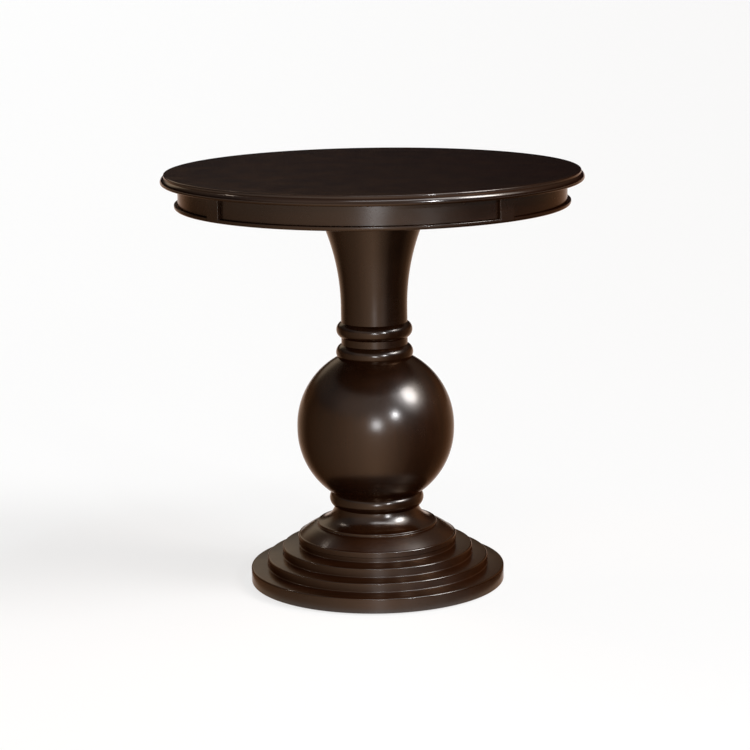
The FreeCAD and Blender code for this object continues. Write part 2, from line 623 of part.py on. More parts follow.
def tie_rod():
    reach = WASHER_THICKNESS + NUT_HEIGHT + ROD_END
    bottom = LOWER_WASHER_SEAT - reach
    top = UPPER_WASHER_SEAT + reach
    end_radius = ROD_RADIUS - ROD_CHAMFER
    return turned(
        (0, bottom), (end_radius, bottom), (ROD_RADIUS, bottom + ROD_CHAMFER), (ROD_RADIUS, top - ROD_CHAMFER),
        (end_radius, top), (0, top))


def hex_nut(bottom):
    corner_radius = NUT_ACROSS_FLATS / 2 / math.cos(math.radians(30))
    corners = []
    for index in range(7):
        angle = math.radians(60 * index)
        corners.append(FreeCAD.Vector(corner_radius * math.cos(angle), corner_radius * math.sin(angle), bottom))
    prism = Part.Face(Part.makePolygon(corners)).extrude(UP * NUT_HEIGHT)
    return drilled(prism, [rod(ROD_RADIUS, bottom, bottom + NUT_HEIGHT)])


def tie_rod_nuts():
    lower = LOWER_WASHER_SEAT - WASHER_THICKNESS - NUT_HEIGHT
    upper = UPPER_WASHER_SEAT + WASHER_THICKNESS
    return Part.makeCompound([hex_nut(lower), hex_nut(upper)])


def tie_rod_washers():
    washers = []
    for bottom in (LOWER_WASHER_SEAT - WASHER_THICKNESS, UPPER_WASHER_SEAT):
        top = bottom + WASHER_THICKNESS
        washers.append(drilled(rod(WASHER_RADIUS, bottom, top), [rod(ROD_RADIUS, bottom, top)]))
    return Part.makeCompound(washers)


def leveller_inserts():
    bore = STEM_RADIUS + THREAD_CLEARANCE
    flange_top = PAD_RECESS_TOP + INSERT_FLANGE_THICKNESS
    sleeve = turned(
        (bore, PAD_RECESS_TOP), (INSERT_FLANGE_RADIUS, PAD_RECESS_TOP), (INSERT_FLANGE_RADIUS, flange_top),
        (INSERT_RADIUS, flange_top), (INSERT_RADIUS, INSERT_TOP), (bore, INSERT_TOP))
    sleeve.translate(FreeCAD.Vector(LEVELLER_CIRCLE, 0, 0))
    return Part.makeCompound(around(sleeve, LEVELLER_COUNT, FIRST_LEVELLER))


def leveller_stems():
    bottom = PAD_HEIGHT - STEM_SOCKET
    end_radius = STEM_RADIUS - STEM_CHAMFER
    stem = turned(
        (0, bottom), (STEM_RADIUS, bottom), (STEM_RADIUS, STEM_TOP - STEM_CHAMFER), (end_radius, STEM_TOP),
        (0, STEM_TOP))
    stem.translate(FreeCAD.Vector(LEVELLER_CIRCLE, 0, 0))
    return around(stem, LEVELLER_COUNT, FIRST_LEVELLER)


def leveller_pads():
    socket_bottom = PAD_HEIGHT - STEM_SOCKET
    pad = turned(
        (0, 0), (PAD_RADIUS, 0, PAD_ROUND), (PAD_RADIUS, PAD_HEIGHT, PAD_ROUND), (STEM_RADIUS, PAD_HEIGHT),
        (STEM_RADIUS, socket_bottom), (0, socket_bottom))
    pad.translate(FreeCAD.Vector(LEVELLER_CIRCLE, 0, 0))
    return around(pad, LEVELLER_COUNT, FIRST_LEVELLER)


SINGLE_PIECES = {
    "top_panel": top_panel, "top_edge_ring": top_edge_ring, "apron_core": apron_core,
    "mounting_plate": mounting_plate, "top_screws": top_screws, "column": column,
    "column_dowels": column_dowels, "upper_bead": upper_bead, "neck_ring": neck_ring, "lower_bead": lower_bead,
    "ball_upper_half": lambda: ball_half(UPPER_BALL_CENTRE, BALL_TOP_SEAT, 1),
    "ball_lower_half": lambda: ball_half(LOWER_BALL_CENTRE, BALL_BOTTOM_SEAT, -1),
    "ball_dowels": ball_dowels, "ball_collar": ball_collar, "base_cove": base_cove, "base_dome": base_dome,
    "upper_tier": upper_tier, "lower_tier": lower_tier, "base_plate": base_plate, "base_dowels": base_dowels,
    "tie_rod": tie_rod, "tie_rod_nuts": tie_rod_nuts, "tie_rod_washers": tie_rod_washers,
    "leveller_inserts": leveller_inserts}

NUMBERED_PIECES = {
    "apron_panel": apron_panels, "apron_stile": apron_stiles, "apron_rail": apron_rails,
    "glue_block": glue_blocks, "leveller_stem": leveller_stems, "leveller_pad": leveller_pads}


def all_pieces():
    pieces = {name: make() for name, make in SINGLE_PIECES.items()}
    for name, make in NUMBERED_PIECES.items():
        for number, shape in enumerate(make(), start=1):
            pieces["%s_%d" % (name, number)] = shape
    return pieces


os.makedirs("parts", exist_ok=True)
for name, shape in all_pieces().items():
    shape.exportStep("parts/%s.step" % name)
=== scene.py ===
import math

import bpy
from mathutils import Matrix, Vector


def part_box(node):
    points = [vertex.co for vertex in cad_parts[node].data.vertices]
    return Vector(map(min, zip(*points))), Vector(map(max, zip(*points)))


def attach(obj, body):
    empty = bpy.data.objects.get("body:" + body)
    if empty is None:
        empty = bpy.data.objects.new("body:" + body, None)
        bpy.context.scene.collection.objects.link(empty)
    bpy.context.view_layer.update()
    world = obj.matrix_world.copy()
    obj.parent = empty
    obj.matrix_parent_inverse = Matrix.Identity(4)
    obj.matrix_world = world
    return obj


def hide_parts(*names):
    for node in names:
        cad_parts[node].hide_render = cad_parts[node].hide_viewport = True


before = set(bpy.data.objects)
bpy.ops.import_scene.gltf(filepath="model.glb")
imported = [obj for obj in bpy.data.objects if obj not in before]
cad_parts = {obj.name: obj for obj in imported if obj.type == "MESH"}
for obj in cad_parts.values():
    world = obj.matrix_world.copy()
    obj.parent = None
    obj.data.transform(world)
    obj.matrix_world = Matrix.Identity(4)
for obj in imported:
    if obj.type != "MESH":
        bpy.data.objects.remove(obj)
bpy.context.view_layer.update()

# Camera, as fitted to the photograph's outline: metres and degrees
CAMERA_DISTANCE = 4.221
CAMERA_HEIGHT = 1.245
CAMERA_AZIMUTH = 5.3
CAMERA_PITCH = 11.517
CAMERA_ROLL = -0.81
CAMERA_LENS = 113.05
SENSOR_WIDTH = 36.0
CAMERA_CLIP = 200.0

# Finish of the show wood, in linear colour: stain, and the warm lacquer that deepens it at a shallow angle
STAIN_DARK = (0.0110, 0.0047, 0.0022)
STAIN_MID = (0.0168, 0.0072, 0.0034)
STAIN_LIGHT = (0.0250, 0.0108, 0.0050)
WOOD_IOR = 1.7
WOOD_SPECULAR = 0.9
LACQUER_TINT = (0.80, 0.62, 0.46, 1.0)
LACQUER_GLEAM = (0.60, 0.75, 1.0, 1.0)
LACQUER_IOR = 1.05
LACQUER_ROUGH = 0.15
LATHE_MARKS = 0.55
DISC_MARKS = 0.72
ACROSS_THE_MARKS = 0.25

# Roughness of the show wood, and what smudges add to it
TOP_ROUGH = 0.12
DISC_ROUGH = 0.28
POST_ROUGH = 0.23
BALL_ROUGH = 0.22
MOULDING_ROUGH = 0.17
EASED_ROUGH = 0.10
SMUDGE_ROUGH = 0.06

# Depth of pores, orange peel and other texture in metres
PORE_DEPTH = 0.000004
FINE_PEEL = 0.000014
PEEL = 0.000028
BALL_PEEL = 0.000045
FRAMING_PORE_DEPTH = 0.00015
ZINC_MARK_DEPTH = 0.00002
NYLON_DEPTH = 0.00003

# Grain and texture: repeats in a metre, along and across the grain where there are three
GROWTH = (2.2, 26.0, 26.0)
FIBRE = (14.0, 420.0, 420.0)
BLOTCH = 9.0
SMUDGE = 22.0
ORANGE_PEEL = 330.0
FRAMING_GROWTH = (3.0, 60.0, 60.0)
FRAMING_FIBRE = (25.0, 700.0, 700.0)
ZINC_SPANGLE = 260.0
ZINC_MARKS = (900.0, 900.0, 160.0)
NYLON_CLOUD = 120.0
NYLON_TEXTURE = 2600.0
BENT_RADIUS = 0.36

# Colours of the framing wood, the steel and the nylon
FRAMING_DARK = (0.050, 0.024, 0.012)
FRAMING_MID = (0.098, 0.051, 0.026)
FRAMING_LIGHT = (0.150, 0.086, 0.046)
FRAMING_SPECULAR = 0.35
ZINC_DULL = (0.43, 0.42, 0.39)
ZINC_BRIGHT = (0.62, 0.62, 0.61)
NYLON_DARK = (0.020, 0.020, 0.021)
NYLON_LIGHT = (0.034, 0.034, 0.035)

# Floor and backdrop
FLOOR_COLOUR = (0.185, 0.180, 0.176)
FLOOR_GLOW = (0.735, 0.732, 0.728)
FLOOR_ROUGH = 0.5
FLOOR_SPECULAR = 0.1
FLOOR_REACH = 60.0
BACKDROP_COLOUR = (0.955, 0.950, 0.945)

# Room and its glows: places and spreads in degrees, rises and falls by the height of a unit direction
ROOM_COLOUR = (0.010, 0.011, 0.015)
CEILING_COLOUR = (0.17, 0.17, 0.17)
CEILING_RISE = (0.10, 0.60)
FRONT_COLOUR = (0.36, 0.26, 0.19)
FRONT_PLACE = (-20.0, 20.0)
FRONT_SPREAD = (15.0, 60.0)
REAR_COLOUR = (0.88, 1.02, 1.05)
REAR_PLACE = (-163.0, 15.0)
REAR_SPREAD = (8.0, 24.0)
REAR_RISE = (0.17, 0.26)
REAR_FALL = (0.55, 0.38)
OVERHEAD_COLOUR = (5.6, 5.8, 6.0)
OVERHEAD_PLACE = (24.0, 59.0)
OVERHEAD_SPREAD = (14.0, 26.0)
OVERHEAD_RISE = (0.80, 0.83)
OVERHEAD_FALL = (0.91, 0.88)
KEY_GLOW = (3.8, 3.9, 4.0)
KEY_PLACE = (71.5, 46.0)
KEY_SPREAD = (10.0, 28.0)

# Lamps: places and widths in degrees, distances and sizes in metres
LAMP_COLOUR = (0.96, 1.0, 1.04)
LAMP_TARGET = Vector((0, 0, 0.3))
SUN_DISTANCE = 3.0
KEY_IRRADIANCE = 2.2
KEY_WIDTH = 20.5
REAR_LEFT_PLACE = (-123.0, 51.0)
REAR_LEFT_IRRADIANCE = 0.08
REAR_LEFT_WIDTH = 3.0
FRONT_RIGHT_PLACE = (30.4, 23.0)
FRONT_RIGHT_DISTANCE = 3.2
FRONT_RIGHT_SIZE = (0.23, 0.23)
FRONT_RIGHT_RADIANCE = 195.0
FRONT_LAMP_PLACE = (1.5, 11.0)
FRONT_LAMP_DISTANCE = 5.6
FRONT_LAMP_SIZE = (0.38, 0.44)
FRONT_LAMP_RADIANCE = 124.0

# Low surround of warm glowing sheets, a painted reflection that lights nothing: its outline in metres, and
# its brightness by azimuth from the camera's side
SURROUND = ((0.25, 0.003), (0.60, 0.006), (0.85, 0.06), (1.00, 0.20), (1.08, 0.50), (1.10, 0.80))
SURROUND_STEPS = 72
SURROUND_REACH = 160.0
SURROUND_END_FADE = 45.0
SURROUND_TOP_FADE = (0.80, 0.60)
REFLECTED_GLOW_COLOUR = (1.0, 0.65, 0.42)
REFLECTED_GLOW_TONES = ((-150.0, 0.55), (-114.0, 0.11), (-95.0, 0.24), (-50.0, 0.48), (0.0, 1.05), (50.0, 0.07),
              (85.0, 0.04), (108.0, 0.22), (150.0, 0.50))

# Turned show pieces, in millimetres as in the frame
MILLIMETRE = 0.001
TURN_STEPS = 320
HOLE_STEPS = 64
ARC_STEP = math.radians(6.0)
SHARP_ANGLE = math.radians(25.0)
TOP_PANEL_RADIUS = 325.0
QUIRK_SETBACK = 6.0
QUIRK_DEPTH = 5.0
NOSE_LOWER_RADIUS = 4.0
RIM_RADIUS = 2.2
GROOVE_DEPTH = 8.15
GROOVE_HEIGHT = 6.3
SLOT_RADIUS = 338.8
SLOT_WIDTH = 8.3
SLOT_DEPTH = 5.15
CORE_RADIUS = 346.3
APRON_RADIUS = 357.0
RAIL_LOWER_RADIUS = 4.0
RAIL_UPPER_RADIUS = 1.2
STILE_WIDTH = 32.0
ROD_BORE = 7.0
ROD_RECESS_RADIUS = 18.0
ROD_RECESS_DEPTH = 16.0
SOCKET_RADIUS = 30.15
TENON_RADIUS = 30.0
TENON_ROUND = 2.0
SHAFT_RADIUS = 60.5
UPPER_BEAD_RADIUS = 69.4
LOWER_BEAD_RADIUS = 70.4
LOWER_BEAD_WIDEST = 9.6
BALL_TOP_SEAT = 67.6
BALL_BOTTOM_SEAT = 82.0
COLLAR_RADIUS = 86.6
COLLAR_WIDEST = 14.9
COLLAR_FOOT_RADIUS = 77.0
COVE_RADIUS = 110.0
COVE_HOLLOW = 6.0
COVE_LIP_HEIGHT = 5.0
COVE_LIP_ROUND = 1.6
COVE_LEDGE = 1.0
DOME_RADIUS = 145.9
DOME_BOW = 1.8
DOME_BAND_HEIGHT = 8.9
DOME_LIP_HEIGHT = 11.0
DOME_LIP_ROUND = 1.0
DOME_LIP_UNDERSIDE = 0.55
DOME_LEDGE = 0.5
DOME_MORTISE_DEPTH = 25.0
TREAD_FALL = 2.2
ARRIS_RADIUS = 3.0
PLATE_FOOT_RADIUS = 1.2
FOOT_COVE = 1.5
FOOT_LAND = 0.4
LEVELLER_CIRCLE = 190.0
LEVELLER_TURNS = (45.0, 135.0, 225.0, 315.0)
HOLE_OVERRUN = 1.0
PAD_RECESS = (17.0, 9.0)
FLANGE_RECESS = (10.05, 10.5)
SLEEVE_HOLE = (6.05, 27.0)


# Node helpers

def new_material(name):
    """Empty node material with its Principled shader joined to the output."""
    material = bpy.data.materials.new(name)
    material.use_nodes = True
    tree = material.node_tree
    tree.nodes.clear()
    output = tree.nodes.new("ShaderNodeOutputMaterial")
    shader = tree.nodes.new("ShaderNodeBsdfPrincipled")
    tree.links.new(shader.outputs["BSDF"], output.inputs["Surface"])
    return material, tree, shader


def add_node(tree, kind, **settings):
    node = tree.nodes.new("ShaderNode" + kind)
    for name, value in settings.items():
        setattr(node, name, value)
    return node


def math_node(tree, operation, first, second=None):
    """Result of a Math node; each operand is a socket or a number."""
    node = add_node(tree, "Math", operation=operation)
    for socket, value in zip(node.inputs, (first, second)):
        if isinstance(value, bpy.types.NodeSocket):
            tree.links.new(value, socket)
        elif value is not None:
            socket.default_value = value
    return node.outputs[0]


def weighted_sum(tree, *parts):
    """Sum of sockets that each come with a weight."""
    total = None
    for socket, weight in reversed(parts):
        share = math_node(tree, "MULTIPLY", socket, weight)
        total = share if total is None else math_node(tree, "ADD", share, total)
    return total


def noise(tree, vector, scale=1.0, detail=2.0, roughness=0.5, distortion=0.0):
    node = add_node(tree, "TexNoise")
    node.inputs["Scale"].default_value = scale
    node.inputs["Detail"].default_value = detail
    node.inputs["Roughness"].default_value = roughness
    node.inputs["Distortion"].default_value = distortion
    tree.links.new(vector, node.inputs["Vector"])
    return node.outputs["Fac"]


def ramp(tree, value, *stops):
    """Colours between stops of (position, colour)."""
    node = add_node(tree, "ValToRGB")
    elements = node.color_ramp.elements
    while len(elements) < len(stops):
        elements.new(0.5)
    for element, (position, colour) in zip(elements, stops):
        element.position = position
        element.color = (*colour, 1.0)
    tree.links.new(value, node.inputs["Fac"])
    return node.outputs["Color"]


def remap(tree, value, low, high, from_low=0.0, from_high=1.0):
    node = add_node(tree, "MapRange")
    for name, number in (("From Min", from_low), ("From Max", from_high), ("To Min", low), ("To Max", high)):
        node.inputs[name].default_value = number
    tree.links.new(value, node.inputs["Value"])
    return node.outputs["Result"]


def stretched(tree, vector, scale):
    node = add_node(tree, "Mapping")
    node.inputs["Scale"].default_value = scale
    tree.links.new(vector, node.inputs["Vector"])
    return node.outputs["Vector"]


def bump(tree, height, distance, below=None):
    node = add_node(tree, "Bump")
    node.inputs["Distance"].default_value = distance
    tree.links.new(height, node.inputs["Height"])
    if below is not None:
        tree.links.new(below, node.inputs["Normal"])
    return node.outputs["Normal"]


def grain_vector(tree, run):
    """Object position in metres with the grain along X, along Z, or bent round the table's axis."""
    position = add_node(tree, "TexCoord").outputs["Object"]
    if run == "x":
        return position
    parts = add_node(tree, "SeparateXYZ")
    tree.links.new(position, parts.inputs["Vector"])
    x, y, z = parts.outputs
    joined = add_node(tree, "CombineXYZ")
    if run == "z":
        order = (z, x, y)
    else:
        squares = [math_node(tree, "POWER", side, 2.0) for side in (x, y)]
        across = math_node(tree, "POWER", math_node(tree, "ADD", *squares), 0.5)
        arc = math_node(tree, "MULTIPLY", math_node(tree, "ARCTAN2", y, x), BENT_RADIUS)
        order = (arc, across, z)
    for source, socket in zip(order, joined.inputs):
        tree.links.new(source, socket)
    return joined.outputs["Vector"]


# Materials

def lacquered_wood(name, run, rough, lathe_marks=0.0, peel_depth=PEEL):
    """Dark stained wood under satin lacquer: faint grain, fine pores and a little orange peel.

    Lathe marks draw a highlight out across the turning.
    """
    material, tree, shader = new_material(name)
    position = add_node(tree, "TexCoord").outputs["Object"]
    along = grain_vector(tree, run)
    growth = noise(tree, stretched(tree, along, GROWTH), detail=4.0, roughness=0.55, distortion=0.6)
    fibre = noise(tree, stretched(tree, along, FIBRE))
    blotch = noise(tree, position, BLOTCH)
    tone = weighted_sum(tree, (growth, 0.55), (fibre, 0.25), (blotch, 0.20))
    colour = ramp(tree, tone, (0.36, STAIN_DARK), (0.50, STAIN_MID), (0.64, STAIN_LIGHT))
    tree.links.new(colour, shader.inputs["Base Color"])
    smudge = noise(tree, position, SMUDGE, detail=3.0, roughness=0.6)
    dulled = remap(tree, smudge, rough, rough + SMUDGE_ROUGH, from_low=0.3, from_high=0.7)
    tree.links.new(dulled, shader.inputs["Roughness"])
    if lathe_marks:
        shader.inputs["Anisotropic"].default_value = lathe_marks
        shader.inputs["Anisotropic Rotation"].default_value = ACROSS_THE_MARKS
        around = add_node(tree, "VectorMath", operation="CROSS_PRODUCT")
        around.inputs[0].default_value = (0, 0, 1)
        tree.links.new(position, around.inputs[1])
        tree.links.new(around.outputs["Vector"], shader.inputs["Tangent"])
    shader.inputs["IOR"].default_value = WOOD_IOR
    shader.inputs["Specular IOR Level"].default_value = WOOD_SPECULAR
    shader.inputs["Specular Tint"].default_value = LACQUER_GLEAM
    shader.inputs["Coat Weight"].default_value = 1.0
    shader.inputs["Coat IOR"].default_value = LACQUER_IOR
    shader.inputs["Coat Roughness"].default_value = LACQUER_ROUGH
    shader.inputs["Coat Tint"].default_value = LACQUER_TINT
    peel = noise(tree, position, ORANGE_PEEL, detail=1.0)
    sunk = bump(tree, fibre, PORE_DEPTH)
    tree.links.new(bump(tree, peel, peel_depth, sunk), shader.inputs["Normal"])
    return material


def plain_wood(name, run):
    """Unlacquered framing wood with a thin dark stain."""
    material, tree, shader = new_material(name)
    along = grain_vector(tree, run)
    growth = noise(tree, stretched(tree, along, FRAMING_GROWTH), detail=4.0, roughness=0.6, distortion=0.8)
    fibre = noise(tree, stretched(tree, along, FRAMING_FIBRE), roughness=0.6)
    tone = weighted_sum(tree, (growth, 0.65), (fibre, 0.35))
    colour = ramp(tree, tone, (0.34, FRAMING_DARK), (0.52, FRAMING_MID), (0.68, FRAMING_LIGHT))
    tree.links.new(colour, shader.inputs["Base Color"])
    tree.links.new(remap(tree, fibre, low=0.50, high=0.72), shader.inputs["Roughness"])
    shader.inputs["Specular IOR Level"].default_value = FRAMING_SPECULAR
    tree.links.new(bump(tree, fibre, FRAMING_PORE_DEPTH), shader.inputs["Normal"])
    return material


def zinc_steel(name):
    """Zinc-plated steel with faint spangle and handling marks."""
    material, tree, shader = new_material(name)
    position = add_node(tree, "TexCoord").outputs["Object"]
    spangle = noise(tree, position, ZINC_SPANGLE, detail=3.0, roughness=0.6)
    marks = noise(tree, stretched(tree, position, ZINC_MARKS))
    colour = ramp(tree, spangle, (0.30, ZINC_DULL), (0.70, ZINC_BRIGHT))
    tree.links.new(colour, shader.inputs["Base Color"])
    shader.inputs["Metallic"].default_value = 1.0
    rubbed = remap(tree, marks, low=0.26, high=0.46, from_low=0.3, from_high=0.7)
    tree.links.new(rubbed, shader.inputs["Roughness"])
    tree.links.new(bump(tree, marks, ZINC_MARK_DEPTH), shader.inputs["Normal"])
    return material


def nylon(name):
    """Dark moulded nylon with a fine matt texture."""
    material, tree, shader = new_material(name)
    position = add_node(tree, "TexCoord").outputs["Object"]
    cloud = noise(tree, position, NYLON_CLOUD, detail=3.0)
    texture = noise(tree, position, NYLON_TEXTURE, detail=1.0)
    colour = ramp(tree, cloud, (0.35, NYLON_DARK), (0.65, NYLON_LIGHT))
    tree.links.new(colour, shader.inputs["Base Color"])
    matt = remap(tree, cloud, low=0.46, high=0.60, from_low=0.3, from_high=0.7)
    tree.links.new(matt, shader.inputs["Roughness"])
    tree.links.new(bump(tree, texture, NYLON_DEPTH), shader.inputs["Normal"])
    return material


def floor_material():
    """Pale polished floor; seen directly or in a reflection it has a glow that keeps its shadow light."""
    material, tree, shader = new_material("pale_floor")
    shader.inputs["Base Color"].default_value = (*FLOOR_COLOUR, 1.0)
    shader.inputs["Roughness"].default_value = FLOOR_ROUGH
    shader.inputs["Specular IOR Level"].default_value = FLOOR_SPECULAR
    path = add_node(tree, "LightPath").outputs
    reflected = math_node(tree, "MAXIMUM", path["Is Glossy Ray"], path["Is Transmission Ray"])
    seen = math_node(tree, "MAXIMUM", path["Is Camera Ray"], reflected)
    shader.inputs["Emission Color"].default_value = (*FLOOR_GLOW, 1.0)
    tree.links.new(seen, shader.inputs["Emission Strength"])
    return material


# Fine meshes of the turned pieces, so that a highlight runs evenly along a tight edge

def arc_points(start, middle, end):
    """Points after start on the arc through three points, up to its end."""
    (ax, ay), (bx, by), (cx, cy) = start, middle, end
    a, b, c = (x * x + y * y for x, y in (start, middle, end))
    across = 2 * (ax * (by - cy) + bx * (cy - ay) + cx * (ay - by))
    x = (a * (by - cy) + b * (cy - ay) + c * (ay - by)) / across
    y = (a * (cx - bx) + b * (ax - cx) + c * (bx - ax)) / across
    radius = math.hypot(ax - x, ay - y)
    first = math.atan2(ay - y, ax - x)
    to_middle = (math.atan2(by - y, bx - x) - first) % math.tau
    to_end = (math.atan2(cy - y, cx - x) - first) % math.tau
    if to_end < to_middle:
        to_end -= math.tau
    steps = max(2, math.ceil(abs(to_end) / ARC_STEP))
    angles = [first + to_end * step / steps for step in range(1, steps + 1)]
    return [(x + radius * math.cos(angle), y + radius * math.sin(angle)) for angle in angles]


def corner_arc(before, corner, after, radius):
    """Start, middle and end of the arc that rounds a corner between two straight sides."""
    corner = Vector(corner)
    back = (Vector(before) - corner).normalized()
    ahead = (Vector(after) - corner).normalized()
    half_angle = back.angle(ahead) / 2
    inward = (back + ahead).normalized()
    middle = corner + inward * (radius / math.sin(half_angle) - radius)
    reach = radius / math.tan(half_angle)
    return tuple(corner + back * reach), tuple(middle), tuple(corner + ahead * reach)


def section(*steps):
    """Closed outline of (radius, height) points, from a sharp first corner round to it again.

    A step is (radius, height), (radius, height, corner radius), or a point on an arc and the arc's end. Each
    point comes with whether it lies on a rounded corner, before its end.
    """
    ends = [step[1] if isinstance(step[0], tuple) else step[:2] for step in steps]
    here = ends[0]
    points = []
    for index in range(1, len(steps) + 1):
        step = steps[index % len(steps)]
        end = ends[index % len(steps)]
        if isinstance(step[0], tuple):
            points += [(*point, False) for point in arc_points(here, step[0], end)]
        elif len(step) == 3:
            start, middle, end = corner_arc(here, end, ends[(index + 1) % len(steps)], step[2])
            rounded = [start] + arc_points(start, middle, end)[:-1]
            points += [(*point, True) for point in rounded]
            points.append((*end, False))
        else:
            points.append((*end, False))
        here = end
    return points


def bowed(start, end, bow):
    """Arc step from start to end that leaves the straight line by bow, outwards on a rising outline."""
    run = end[0] - start[0]
    rise = end[1] - start[1]
    length = math.hypot(run, rise)
    return ((start[0] + end[0]) / 2 + rise / length * bow, (start[1] + end[1]) / 2 - run / length * bow), end


def foot_cove(radius, bottom):
    """Outline of a small hollow at the foot of a round riser."""
    land = bottom + FOOT_LAND
    quarter = FOOT_COVE * (1 - math.sqrt(0.5))
    return ((radius + FOOT_COVE, bottom), (radius + FOOT_COVE, land),
            ((radius + quarter, land + quarter), (radius, land + FOOT_COVE)))


def new_object(name, vertices, faces, eased):
    """Object from millimetres that keeps, for each face, whether it is on an eased edge."""
    mesh = bpy.data.meshes.new(name)
    mesh.from_pydata([Vector(v) * MILLIMETRE for v in vertices], [], faces)
    mesh.attributes.new("eased", "BOOLEAN", "FACE").data.foreach_set("value", eased)
    thing = bpy.data.objects.new(name, mesh)
    bpy.context.scene.collection.objects.link(thing)
    return thing


def turned(name, outline, circle=0.0, turn=0.0):
    """Mesh turned about the table's axis, or about an upright one out on a circle."""
    middle_x = circle * math.cos(turn)
    middle_y = circle * math.sin(turn)
    steps = HOLE_STEPS if circle else TURN_STEPS
    count = len(outline)
    vertices = []
    faces = []
    for step in range(steps):
        angle = math.tau * step / steps
        here = step * count
        there = (step + 1) % steps * count
        for index, (radius, height, _) in enumerate(outline):
            after = (index + 1) % count
            x = middle_x + radius * math.cos(angle)
            y = middle_y + radius * math.sin(angle)
            vertices.append((x, y, height))
            faces.append((there + index, there + after, here + after, here + index))
    return new_object(name, vertices, faces, [point[2] for point in outline] * steps)


def bent_between_stiles(name, outline, middle):
    """Mesh bent round the table's axis over a quarter turn, less half a stile's width at each end."""
    steps = TURN_STEPS // 4
    count = len(outline)
    vertices = []
    faces = [tuple(range(count)), tuple(range((steps + 1) * count - 1, steps * count - 1, -1))]
    for step in range(steps + 1):
        for radius, height, _ in outline:
            spread = math.pi / 4 - math.asin(STILE_WIDTH / 2 / radius)
            angle = middle + spread * (2 * step / steps - 1)
            vertices.append((radius * math.cos(angle), radius * math.sin(angle), height))
    for step in range(steps):
        here = step * count
        there = here + count
        for index in range(count):
            after = (index + 1) % count
            faces.append((there + index, there + after, here + after, here + index))
    return new_object(name, vertices, faces, [False, False] + [point[2] for point in outline] * steps)


def bored(piece, tools):
    """Cuts other meshes out of a piece, and drops them."""
    for tool in tools:
        cut = piece.modifiers.new("bore", "BOOLEAN")
        cut.operation = "DIFFERENCE"
        cut.solver = "EXACT"
        cut.object = tool
    bpy.context.view_layer.update()
    cut_mesh = bpy.data.meshes.new_from_object(piece.evaluated_get(bpy.context.evaluated_depsgraph_get()))
    piece.modifiers.clear()
    piece.data = cut_mesh
    for tool in tools:
        bpy.data.objects.remove(tool)


def span(node):
    """Largest radius, bottom and top of a CAD node in millimetres."""
    low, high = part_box(node)
    return high.x / MILLIMETRE, low.z / MILLIMETRE, high.z / MILLIMETRE


def edge_ring_outline():
    radius, bottom, top = span("top_edge_ring")
    groove_radius = TOP_PANEL_RADIUS + GROOVE_DEPTH
    groove_bottom = (bottom + top - GROOVE_HEIGHT) / 2
    groove_top = (bottom + top + GROOVE_HEIGHT) / 2
    slot_inner = SLOT_RADIUS - SLOT_WIDTH / 2
    slot_outer = SLOT_RADIUS + SLOT_WIDTH / 2
    slot_top = bottom + SLOT_DEPTH
    widest = (radius, bottom + NOSE_LOWER_RADIUS)
    ease = NOSE_LOWER_RADIUS * (1 - math.sqrt(0.5))
    nose_rise = top - QUIRK_DEPTH - widest[1]
    bend = (QUIRK_SETBACK ** 2 + nose_rise ** 2) / (2 * QUIRK_SETBACK)
    half_angle = math.asin(nose_rise / bend) / 2
    nose_middle = (radius - bend * (1 - math.cos(half_angle)), widest[1] + bend * math.sin(half_angle))
    return section(
        (TOP_PANEL_RADIUS, bottom), (slot_inner, bottom), (slot_inner, slot_top), (slot_outer, slot_top),
        (slot_outer, bottom), (radius - NOSE_LOWER_RADIUS, bottom), ((radius - ease, bottom + ease), widest),
        (nose_middle, (radius - QUIRK_SETBACK, top - QUIRK_DEPTH)), (radius - QUIRK_SETBACK, top, RIM_RADIUS),
        (TOP_PANEL_RADIUS, top), (TOP_PANEL_RADIUS, groove_top), (groove_radius, groove_top),
        (groove_radius, groove_bottom), (TOP_PANEL_RADIUS, groove_bottom))


def rail_outline():
    bottom, top = span("apron_rail_1")[1:]
    return section((CORE_RADIUS, bottom), (APRON_RADIUS, bottom, RAIL_LOWER_RADIUS),
                   (APRON_RADIUS, top, RAIL_UPPER_RADIUS), (CORE_RADIUS, top))


def ring_outline(node, foot, widest, head):
    """Ring with a round outside on a tenon; widest is a radius and a height above its foot."""
    bottom, top = span(node)[1:]
    return section((SOCKET_RADIUS, bottom), (foot, bottom), ((widest[0], bottom + widest[1]), (head, top)),
                   (SOCKET_RADIUS, top))


def cove_outline():
    tenon_bottom, tenon_top = span("base_cove")[1:]
    bottom = span("base_dome")[2]
    top = span("ball_collar")[1]
    lip_top = bottom + COVE_LIP_HEIGHT
    hollow_foot = (COVE_RADIUS - COVE_LIP_ROUND - COVE_LEDGE, lip_top)
    return section(
        (ROD_BORE, tenon_bottom), (TENON_RADIUS, tenon_bottom, TENON_ROUND), (TENON_RADIUS, bottom),
        *foot_cove(COVE_RADIUS, bottom), (COVE_RADIUS, lip_top, COVE_LIP_ROUND), hollow_foot,
        bowed(hollow_foot, (COLLAR_FOOT_RADIUS, top), -COVE_HOLLOW), (TENON_RADIUS, top),
        (TENON_RADIUS, tenon_top, TENON_ROUND), (ROD_BORE, tenon_top))


